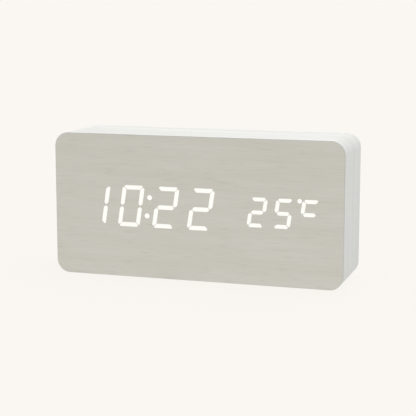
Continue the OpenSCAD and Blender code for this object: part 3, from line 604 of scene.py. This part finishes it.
shell = socket_form("power_socket", 0, socket_low.y, socket_high.y)
cut_out(shell, socket_form("socket_mouth", shell_wall, socket_low.y + shell_floor, socket_high.y + past))
round_off(shell, upper_fold, shell_bend, 2)
round_off(shell, at_plane(socket_high.y), shell_lip, 2)
smooth(shell)
coat(shell, steel)
fit(shell, "case", "steel", "usb_socket")

tongue_low, tongue_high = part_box("usb_tongue")
tongue_rounding = 0.0001
contact_count, contact_pitch, contact_w = 5, 0.00065, 0.0004
contact_proud, contact_sunk, contact_bend = 0.00006, 0.00004, 0.00004
contact_end = tongue_high.y - 0.0003
contact_x = socket_x - contact_pitch * (contact_count - 1) / 2
contact_metal = plain_finish("contact_gold", srgb(214, 178, 104), contrast=0.1, gloss=0.25, metal=1.0)
contacts = block("socket_contacts", (contact_x - contact_w / 2, tongue_low.y, tongue_low.z - contact_proud),
                 (contact_x + contact_w / 2, contact_end, tongue_low.z + contact_sunk))
round_off(contacts, at_plane(contact_end), contact_bend, 2)
join(*row(contacts, contact_count, (contact_pitch, 0, 0)))
smooth(contacts)
coat(contacts, contact_metal)
fit(contacts, "case", "steel")
soften("usb_tongue", tongue_rounding)
keep({"usb_tongue": chip_body})


# REAR PANEL
# A moulding in white plastic, sunk below the rim of the case, with round holes for the keys, a
# slot for the socket, a vent, a microphone hole and the opening of the battery bay.

def bar_across(name, y, z, radius, left, right, sides=48):
    """A round bar that runs from left to right."""
    bpy.ops.object.select_all(action="DESELECT")
    bpy.ops.mesh.primitive_cylinder_add(vertices=sides, radius=radius, depth=right - left,
                                        location=((left + right) / 2, y, z), rotation=(0, math.pi / 2, 0))
    return named(name)


def soft_edges(piece, radius, steps=3):
    """Rounds every sharp edge of a finished piece."""
    modify(piece, "BEVEL", width=radius, segments=steps, limit_method="ANGLE", angle_limit=sharp,
           use_clamp_overlap=False)
    smooth(piece)


def middle(name):
    """The middle of a node's box."""
    low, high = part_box(name)
    return (low + high) / 2


panel_low, panel_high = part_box("rear_panel")
panel_outer = panel_high.y
panel_radius, panel_rounding = 0.003, 0.00018
inside, outside = panel_inner - past / 2, panel_outer + past
door_low, door_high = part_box("battery_door")
door_gap = 0.00025
bay_x = middle("battery_box").x
opening_w = 0.054
opening_low, opening_high = door_low.z - door_gap, door_high.z + door_gap
notch_radius, notch_depth = 0.007, 0.001
barrel_radius = 0.001
hinge_y, hinge_z = panel_outer - barrel_radius, door_high.z - barrel_radius
pin_bore, pin_end_gap = 0.00075, 0.00005
key_names = ("set", "up", "down")
key_places = [middle(name + "_button") for name in key_names]
key_hole = 0.0042
slot_w, slot_h, slot_radius = 0.0084, 0.0036, 0.0009
vent_count, vent_pitch, vent_w, vent_h = 4, 0.0026, 0.0012, 0.008
vent_radius = vent_w / 2 - near
vent_x = key_places[1].x - vent_pitch * (vent_count - 1) / 2
microphone_hole = 0.001
screw_hole, head_gap = 0.0012, 0.0001
head_seat = panel_outer - 0.0008

panel = plate("panel", 0, (panel_low.z + panel_high.z) / 2, panel_high.x - panel_low.x,
              panel_high.z - panel_low.z, panel_radius, panel_inner, panel_outer)
cut_out(panel, block("opening", (bay_x - opening_w / 2, inside, opening_low),
                     (bay_x + opening_w / 2, outside, opening_high)))
cut_out(panel, drum("notch", bay_x, opening_low, notch_radius, panel_outer - notch_depth, outside, sides=96))
cut_out(panel, *[drum("key_hole", place.x, place.z, key_hole, inside, outside) for place in key_places])
cut_out(panel, plate("socket_slot", socket_x, socket_z, slot_w, slot_h, slot_radius, inside, outside,
                     steps=6))
vent = plate("vent", vent_x, socket_z, vent_w, vent_h, vent_radius, inside, outside, steps=8)
cut_out(panel, *row(vent, vent_count, (vent_pitch, 0, 0)))
cut_out(panel, drum("microphone_hole", key_places[2].x, socket_z, microphone_hole, inside, outside,
                    sides=32))
for x, z in screw_places:
    cut_out(panel, drum("screw_hole", x, z, screw_hole, inside, outside, sides=32))
    cut_out(panel, drum("head_recess", x, z, head_radius + head_gap, head_seat, outside))
cut_out(panel, bar_across("pin_bores", hinge_y, hinge_z, pin_bore, door_low.x - pin_end_gap,
                          door_high.x + pin_end_gap))
soft_edges(panel, panel_rounding)

root = panel_inner + 0.0002  # the posts and stakes reach this far into the panel
post_x, post_z = key_places[1].x, middle("display_board").z
post_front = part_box("key_board")[1].y
post_radius, post_reach = 0.0021, 0.0075
bore_radius, bore_depth = 0.00095, 0.00445
stake_radius, stake_length = 0.0008, 0.0012
stake_reach, stake_inset = opening_w / 2 + 0.0013, 0.006
stake_low, stake_high = opening_low + stake_inset, opening_high - stake_inset
post = drum("post", post_x - post_reach, post_z, post_radius, post_front, root)
cut_out(post, drum("post_bore", post_x - post_reach, post_z, bore_radius, post_front - past,
                   post_front + bore_depth, sides=32))
stake = drum("stake", bay_x - stake_reach, stake_low, stake_radius, panel_inner - stake_length, root)
stakes = [copy for side in row(stake, 2, (2 * stake_reach, 0, 0))
          for copy in row(side, 2, (0, 0, stake_high - stake_low))]
cut_out(panel, *row(post, 2, (2 * post_reach, 0, 0)), *stakes, operation="UNION")
smooth(panel)
panel_plastic = plain_finish("panel_plastic", srgb(232, 232, 229), contrast=0.05, gloss=0.5, pitch=3200,
                             relief=0.25, Specular_IOR_Level=0.4)
coat(panel, panel_plastic)
fit(panel, "case", "panel", "rear_panel")


# PANEL SCREWS
# Four plated pan head screws with a cross recess, sunk a little into the panel and driven through
# it into the pilot holes in the ledge of the case.

head_top, head_rounding = screw_high.y, 0.0008
cross_l, cross_w, cross_depth = 0.0027, 0.0007, 0.0009
cross_rounding = 0.00006
shank_radius, shank_root = 0.0011, head_seat + 0.0001


def pan_screw(name, x, z):
    """One screw: a rounded head with a cross cut into it, on a plain shank."""
    screw = drum(name, x, z, head_radius, head_seat, head_top, sides=48)
    round_off(screw, at_plane(head_top), head_rounding, 5)
    for w, h in ((cross_l, cross_w), (cross_w, cross_l)):
        cut_out(screw, block("recess", (x - w / 2, head_top - cross_depth, z - h / 2),
                             (x + w / 2, head_top + past, z + h / 2)))
    soft_edges(screw, cross_rounding, steps=2)
    cut_out(screw, drum("shank", x, z, shank_radius, screw_low.y, shank_root, sides=24), operation="UNION")
    smooth(screw)
    return screw


first_x, first_z = screw_places[0]
first_screw = pan_screw("panel_screw_1", first_x, first_z)
coat(first_screw, steel)
screws = [first_screw] + [copied(first_screw, "panel_screw_%d" % i, (x - first_x, 0, z - first_z))
                          for i, (x, z) in enumerate(screw_places[1:], 2)]
for screw in screws:
    fit(screw, "case", "steel", "rear_panel_screws")


# KEYS
# Three round caps of white plastic, smoother than the panel, each with a dished top and a raised mark.
# A flange behind the panel keeps them in, and each stands on the plunger of its switch.

def facing_rear(piece):
    """Selects the rearmost face of a piece."""
    rear = max(face.center.y for face in piece.data.polygons)
    pick(piece, "FACE", lambda face: abs(face.calc_center_median().y - rear) < near)


cap_low, cap_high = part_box("set_button")
flange_radius, flange_step = 0.005, 0.001
cap_rounding = 0.00055
dish_ring, dish_sinks = 0.0006, (0.00004, 0.0001, 0.00009, 0.00005)
mark_front, mark_rear = cap_high.y - 0.0004, cap_high.y - 0.00015
mark_rounding = 0.00006
ring_outer, ring_inner = 0.0013, 0.0008
arrow_radius = 0.0015


def key_cap(name, x, z):
    """The cap: a flange, a round stem with a rounded rim and a dished top."""
    cap = drum(name, x, z, flange_radius, cap_low.y, panel_inner, sides=96)
    facing_rear(cap)
    bpy.ops.mesh.inset(thickness=flange_step)
    bpy.ops.mesh.extrude_region_move(TRANSFORM_OT_translate={"value": (0, cap_high.y - panel_inner, 0)})
    close()
    round_off(cap, at_plane(cap_high.y), cap_rounding, 5)
    facing_rear(cap)
    for sink in dish_sinks:
        bpy.ops.mesh.inset(thickness=dish_ring)
        bpy.ops.transform.translate(value=(0, -sink, 0))
    close()
    return cap


def ring_mark(x, z):
    """A raised ring, the mark of the set key."""
    ring = drum("mark", x, z, ring_outer, mark_front, mark_rear, sides=48)
    cut_out(ring, drum("ring_hole", x, z, ring_inner, mark_front - past, mark_rear + past, sides=48))
    return ring


def arrow_mark(x, z, up):
    """A raised triangle that points up or down."""
    arrow = drum("mark", x, z, arrow_radius, mark_front, mark_rear, sides=3)
    tip = max((corner.co for corner in arrow.data.vertices), key=lambda co: abs(co.z - z))
    if (tip.z > z) != up:
        open_up(arrow)
        bpy.ops.transform.rotate(value=math.pi, orient_axis="Y", center_override=(x, mark_front, z))
        close()
    return arrow


key_plastic = plain_finish("key_plastic", srgb(236, 236, 233), contrast=0.04, gloss=0.38, pitch=4200,
                           relief=0.08)
mark_ink = plain_finish("mark_grey", srgb(128, 130, 132), contrast=0.08, gloss=0.5)
first_cap = key_cap("set_key_cap", key_places[0].x, key_places[0].z)
coat(first_cap, key_plastic)
caps = [first_cap] + [copied(first_cap, name + "_key_cap", place - key_places[0])
                      for name, place in zip(key_names[1:], key_places[1:])]
for cap, name, place in zip(caps, key_names, key_places):
    mark = ring_mark(place.x, place.z) if name == "set" else arrow_mark(place.x, place.z, name == "up")
    soft_edges(mark, mark_rounding, steps=2)
    coat(mark, mark_ink)
    join(cap, mark)
    smooth(cap, degrees=50)
    fit(cap, name + "_key", "key_cap", name + "_button")


# BATTERY BAY
# A moulded box staked to the back of the panel. Three cells lie in it on saddles, joined in a row by
# plated plates and by conical springs, and two leads go to the display board.

box_plastic = plain_finish("box_plastic", srgb(222, 223, 220), contrast=0.06, gloss=0.5, pitch=3000,
                           relief=0.15)
lead_red = plain_finish("lead_red", srgb(178, 48, 42), contrast=0.1, gloss=0.4)
lead_black = plain_finish("lead_black", srgb(38, 40, 43), contrast=0.15, gloss=0.4)
box_rounding, contact_rounding = 0.0002, 0.00008
soften("battery_box", box_rounding)
soften("contact_plates", contact_rounding)
keep({"battery_box": box_plastic, "contact_plates": steel, "positive_lead": lead_red,
      "negative_lead": lead_black})

cells_low, cells_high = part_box("battery_cells")
cell_radius = (cells_high.y - cells_low.y) / 2
cell_middle = (cells_low + cells_high) / 2
cell_count, cell_pitch, cell_length = 3, 0.011, 0.0445
top_row = cells_high.z - cell_radius
button = cells_low.x
button_length, button_rounding = 0.001, 0.0002
shoulder, foot = button + button_length, button + cell_length
cell_rounding = 0.0005
fold_w, fold_t = 0.0006, 0.00012
washer_w, groove_w = 0.0017, 0.0005
band_end = shoulder + 0.011
metal_radius = cell_radius - 0.0009


def facing(piece, sign):
    """Selects the end face of a piece along the width."""
    edge = max(sign * face.center.x for face in piece.data.polygons)
    pick(piece, "FACE", lambda face: abs(sign * face.calc_center_median().x - edge) < near)


def slide(x):
    """Moves what is selected along the width."""
    bpy.ops.transform.translate(value=(x, 0, 0))


def at_rims(edge):
    """True for the edges of a bar that don't run along the width."""
    return abs(edge.verts[0].co.x - edge.verts[1].co.x) < near


def at_button(edge):
    """True for the outer edge of a cell's button."""
    return all(abs(corner.co.x - button) < near for corner in edge.verts)


def bare_metal(face):
    """True for the button of a cell and for its ends inside the fold of the jacket."""
    reach = math.hypot(face.center.y - cell_middle.y, face.center.z - top_row)
    return face.center.x < shoulder or abs(face.normal.x) > 0.9 and reach < metal_radius


def cell(name):
    """A cell in the top row: a jacket folded in over both ends, a button to the left and a flat foot."""
    made = bar_across(name, cell_middle.y, top_row, cell_radius, shoulder, foot, sides=64)
    round_off(made, at_rims, cell_rounding, 4)
    facing(made, -1)
    bpy.ops.mesh.inset(thickness=fold_w)
    slide(fold_t)
    bpy.ops.mesh.inset(thickness=washer_w)
    bpy.ops.mesh.inset(thickness=groove_w)
    bpy.ops.mesh.extrude_region_move(TRANSFORM_OT_translate={"value": (-fold_t - button_length, 0, 0)})
    close()
    round_off(made, at_button, button_rounding, 3)
    facing(made, 1)
    bpy.ops.mesh.inset(thickness=fold_w)
    slide(-fold_t)
    close()
    open_up(made)
    bpy.ops.mesh.bisect(plane_co=(band_end, 0, 0), plane_no=(1, 0, 0))
    close()
    smooth(made)
    return made


springs_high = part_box("contact_springs")[1]
wire_radius, spring_length = 0.00025, 0.0053
spring_turns, turn_steps = 5, 20
base_radius, tip_radius = 0.0034, 0.0022


def spring(name):
    """A conical spring of round wire in the top row, from the right plate to the foot of its cell."""
    line = bpy.data.curves.new(name, "CURVE")
    line.dimensions = "3D"
    line.bevel_depth = wire_radius
    line.bevel_resolution = 3
    line.use_fill_caps = True
    run = line.splines.new("POLY")
    run.points.add(spring_turns * turn_steps)
    for i, point in enumerate(run.points):
        share = i / (spring_turns * turn_steps)
        radius = base_radius + share * (tip_radius - base_radius)
        angle = math.tau * i / turn_steps
        point.co = (springs_high.x - wire_radius - share * (spring_length - 2 * wire_radius),
                    cell_middle.y - radius * math.cos(angle), top_row + radius * math.sin(angle), 1)
    coil = bpy.data.objects.new(name, line)
    bpy.context.scene.collection.objects.link(coil)
    only(coil)
    bpy.ops.object.convert(target="MESH")
    coil = bpy.context.object
    smooth(coil, degrees=60)
    return coil


def lower_row(first, i):
    """A copy of a piece of the top row, i rows below it, turned end for end in every second row."""
    piece = copied(first, first.name.replace("1", str(i + 1)), (0, 0, -i * cell_pitch))
    if i % 2:
        open_up(piece)
        bpy.ops.transform.rotate(value=math.pi, orient_axis="Z", center_override=cell_middle)
        close()
    return piece


cell_jacket = plain_finish("cell_jacket", srgb(84, 94, 102), contrast=0.1, gloss=0.28, pitch=600,
                           relief=0.04, Coat_Weight=0.4)
cell_band = plain_finish("cell_band", srgb(178, 183, 186), contrast=0.1, gloss=0.28, pitch=600,
                         relief=0.04, Coat_Weight=0.4)
first_cell = cell("cell_1")
coat(first_cell, cell_jacket, cell_band, steel)
paint(first_cell, 1, lambda face: face.center.x < band_end)
paint(first_cell, 2, bare_metal)
first_spring = spring("spring_1")
coat(first_spring, steel)
bay_rows = [(first_cell, first_spring)]
bay_rows += [(lower_row(first_cell, i), lower_row(first_spring, i)) for i in range(1, cell_count)]
for made, coil in bay_rows:
    fit(made, "case", "cell_jacket", "battery_cells")
    fit(coil, "case", "steel", "contact_springs")


# BATTERY DOOR
# A moulded flap that hangs on two pins at its top edge. Two slots free a springy tongue at its foot,
# with three ridges for the thumb.

door_inner = panel_outer - 0.0017
door_w = opening_w - 2 * door_gap
door_rounding = 0.0002
downward = -0.01  # a face looks down where the height of its normal is below this
pin_radius, pin_rounding = 0.0007, 0.0002
tongue_w, tongue_l, tongue_slot = 0.011, 0.009, 0.0008
ridge_count, ridge_pitch, ridge_l, ridge_w = 3, 0.0016, 0.0078, 0.0007
ridge_root, ridge_rounding = panel_outer - 0.0003, 0.0003

door = bar_across("door", hinge_y, hinge_z, barrel_radius, bay_x - door_w / 2, bay_x + door_w / 2, sides=64)
pick(door, "FACE", lambda face: face.normal.z < downward and face.calc_center_median().y > door_inner)
bpy.ops.mesh.extrude_region_move(TRANSFORM_OT_translate={"value": (0, 0, door_low.z - hinge_z)})
bpy.ops.transform.resize(value=(1, 1, 0), center_override=(bay_x, hinge_y, door_low.z))
bpy.ops.mesh.select_all(action="SELECT")
merge_flat(1)
close()
slot_x = bay_x - (tongue_w + tongue_slot) / 2
slot = block("slot", (slot_x, door_inner - past, door_low.z - past),
             (slot_x + tongue_slot, panel_outer + past, door_low.z + tongue_l))
cut_out(door, *row(slot, 2, (tongue_w, 0, 0)))
soft_edges(door, door_rounding)
pins = bar_across("pins", hinge_y, hinge_z, pin_radius, door_low.x, door_high.x)
round_off(pins, at_rims, pin_rounding, 3)
ridge_z = door_low.z + ridge_pitch
ridge = block("ridge", (bay_x - ridge_l / 2, ridge_root, ridge_z - ridge_w / 2),
              (bay_x + ridge_l / 2, door_high.y, ridge_z + ridge_w / 2))
round_off(ridge, at_plane(door_high.y), ridge_rounding, 4)
cut_out(door, pins, *row(ridge, ridge_count, (0, 0, ridge_pitch)), operation="UNION")
smooth(door)
coat(door, panel_plastic)
fit(door, "battery_hatch", "panel", "battery_door")


# STAGE
# A pale floor that fades into the background, soft light from all round with a lamp above, one
# behind and a low one in front, and the camera at the photograph's angle.

background = srgb(250, 247, 242)
all_round = (0.62, 0.62, 0.62, 1)
world = bpy.data.worlds.new("studio")
bpy.context.scene.world = world
world.use_nodes = True
tree = world.node_tree
path = add(tree, "LightPath").outputs
mirrored = maths(tree, "MAXIMUM", path["Is Glossy Ray"], path["Is Transmission Ray"])
seen = maths(tree, "MAXIMUM", path["Is Camera Ray"], mirrored)
tree.links.new(tinted(tree, seen, all_round, background), tree.nodes["Background"].inputs["Color"])


lamp_aim = Vector((0, 0, 0.03))


def lamp(name, place, size, watts):
    """A square soft lamp, turned to the object."""
    bpy.ops.object.light_add(type="AREA", location=place)
    made = bpy.context.object
    made.name = name
    made.data.size = size
    made.data.energy = watts
    made.rotation_mode = "QUATERNION"
    made.rotation_quaternion = (lamp_aim - Vector(place)).to_track_quat("-Z", "Y")


lamp("lamp_above", (0.26, 0.15, 1.27), size=1.0, watts=5.9)
lamp("lamp_front", (0.04, -0.9, -0.28), size=0.6, watts=3.2)
lamp("lamp_rear", (-0.4, 1.3, 0.05), size=0.8, watts=4)

floor_size, floor_drop = 6, 0.0002
bpy.ops.object.select_all(action="DESELECT")
bpy.ops.mesh.primitive_plane_add(size=floor_size, location=(0, 0, -floor_drop))
floor = named("floor")
floor_paint, tree, shader = finish("floor_paint")
shader.inputs["Base Color"].default_value = background
shader.inputs["Roughness"].default_value = 0.9
shader.inputs["Specular IOR Level"].default_value = 0.0
flat = add(tree, "Emission", {"Color": background, "Strength": 1.0}).outputs[0]
reach = add(tree, "VectorMath", {0: own_place(tree)}, operation="LENGTH").outputs["Value"]
share = spread(tree, reach, 0.92, 1.0, lowest=0.08, highest=0.25)
mixed = add(tree, "MixShader", {0: share, 1: shader.outputs[0], 2: flat})
tree.links.new(mixed.outputs[0], tree.nodes["Material Output"].inputs["Surface"])
floor.data.materials.append(floor_paint)
floor.visible_diffuse = False
floor.visible_shadow = False

azimuth, elevation = math.radians(17.59), math.radians(9.38)
aim, distance = Vector((0.00044, 0, 0.0339)), 0.61262
back = Vector((math.sin(azimuth) * math.cos(elevation), -math.cos(azimuth) * math.cos(elevation),
               math.sin(elevation)))
bpy.ops.object.camera_add(location=aim + back * distance)
camera = bpy.context.object
camera.rotation_mode = "QUATERNION"
camera.rotation_quaternion = (-back).to_track_quat("-Z", "Y")
camera.data.sensor_width = 36
camera.data.lens = 103.68
camera.data.clip_start = 0.01
bpy.context.scene.camera = camera
bpy.context.scene.view_settings.view_transform = "Standard"
